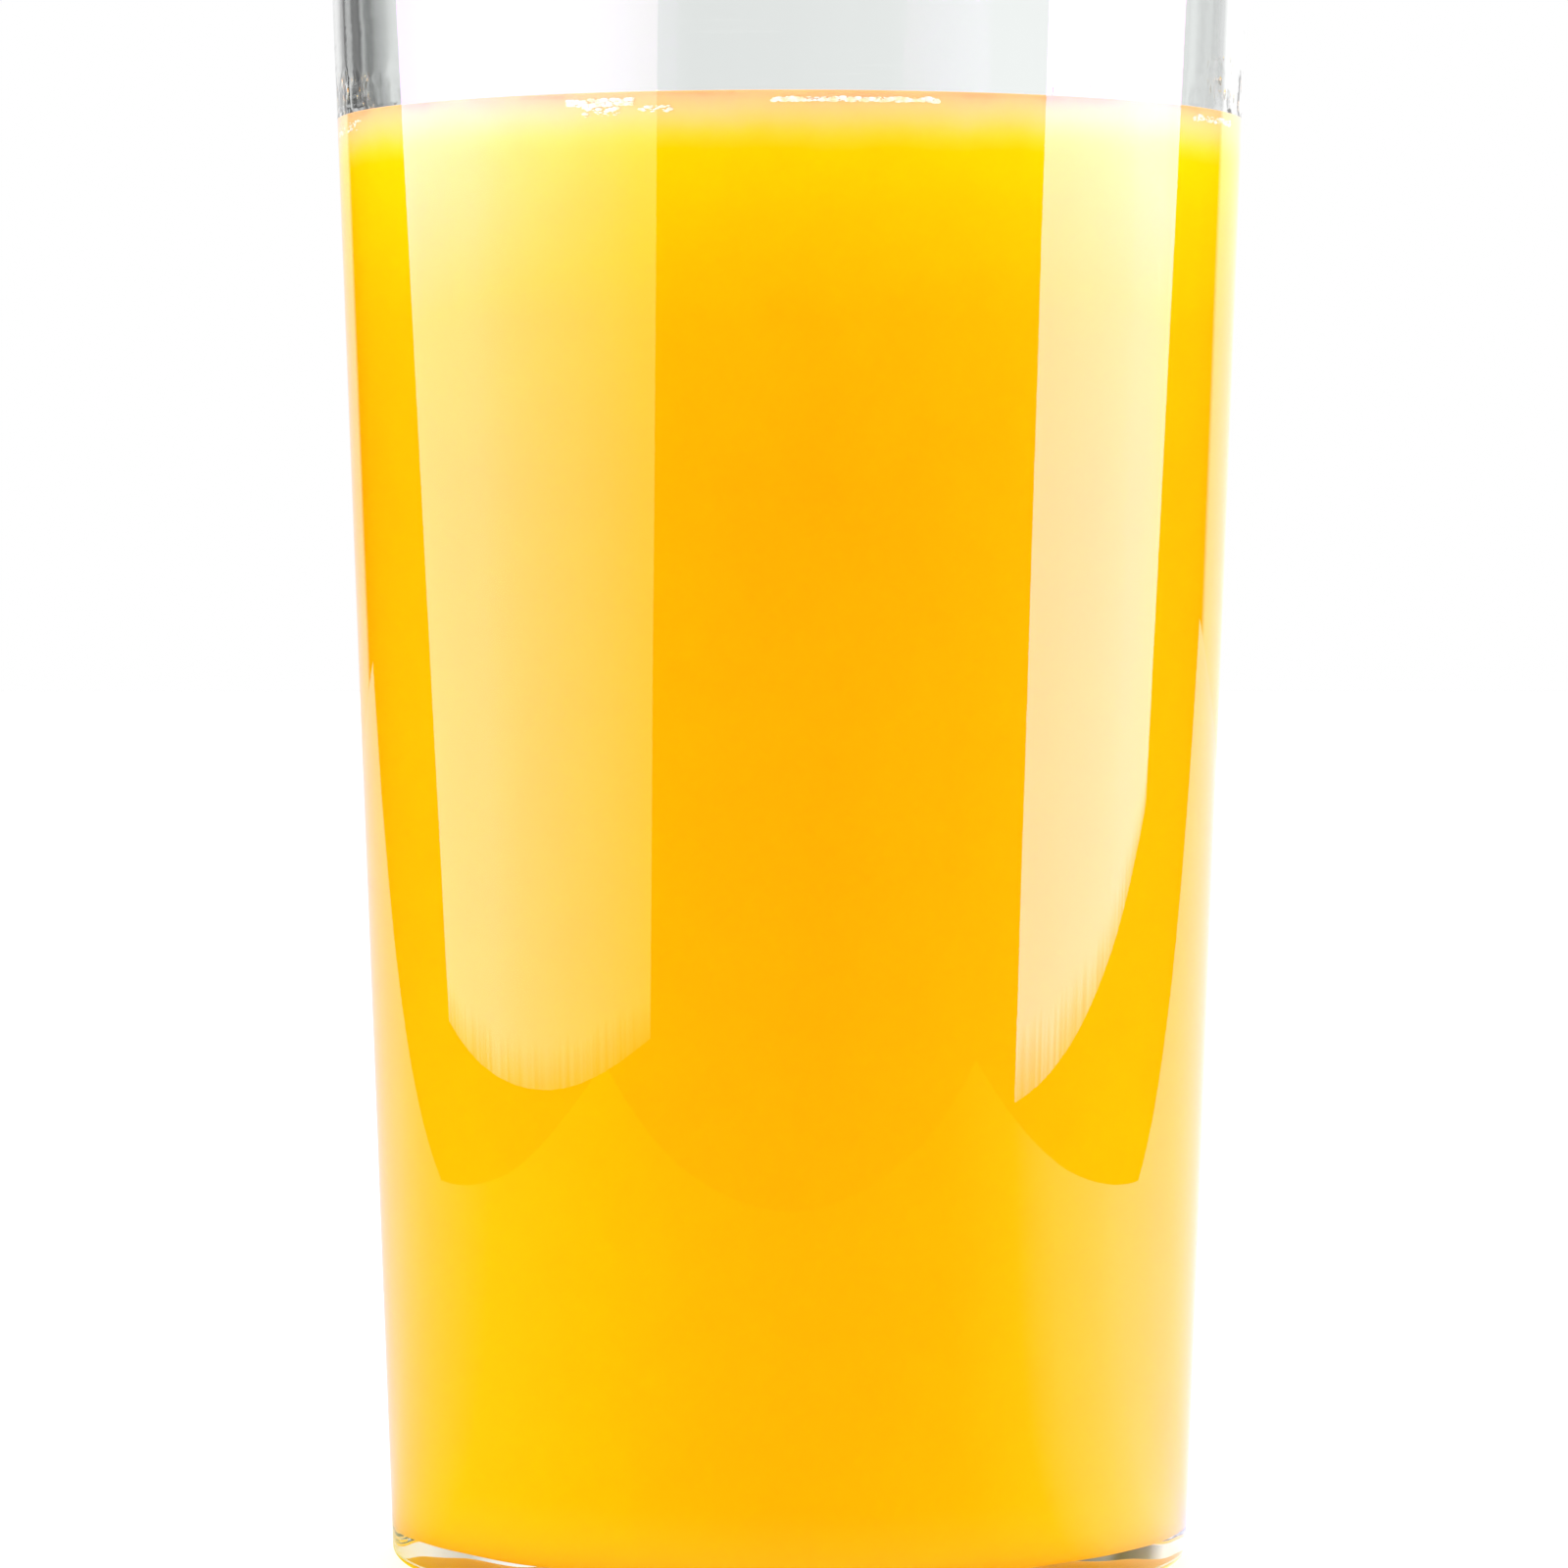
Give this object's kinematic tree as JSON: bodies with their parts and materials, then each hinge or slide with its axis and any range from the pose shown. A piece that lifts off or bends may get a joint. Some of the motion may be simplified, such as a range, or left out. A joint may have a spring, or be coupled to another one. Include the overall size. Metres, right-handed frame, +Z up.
{
  "type": "glass of orange juice",
  "caption": "Tall tapered drinking glass with a narrow foot ring, filled most of the way with opaque orange juice that climbs the wall in a small meniscus.",
  "frame": {"origin": "middle of the foot, on the surface that the glass stands on", "axes": "+Z up along the glass's axis; the glass is round, so +X and +Y are any two square directions"},
  "size_m": [0.0696, 0.0696, 0.132],
  "materials": {
    "glass": "clear, fire-polished",
    "juice": "wet, cloudy orange liquid"
  },
  "bodies": {
    "root": {"glass": "glass", "juice": "juice"}
  },
  "joints": []
}
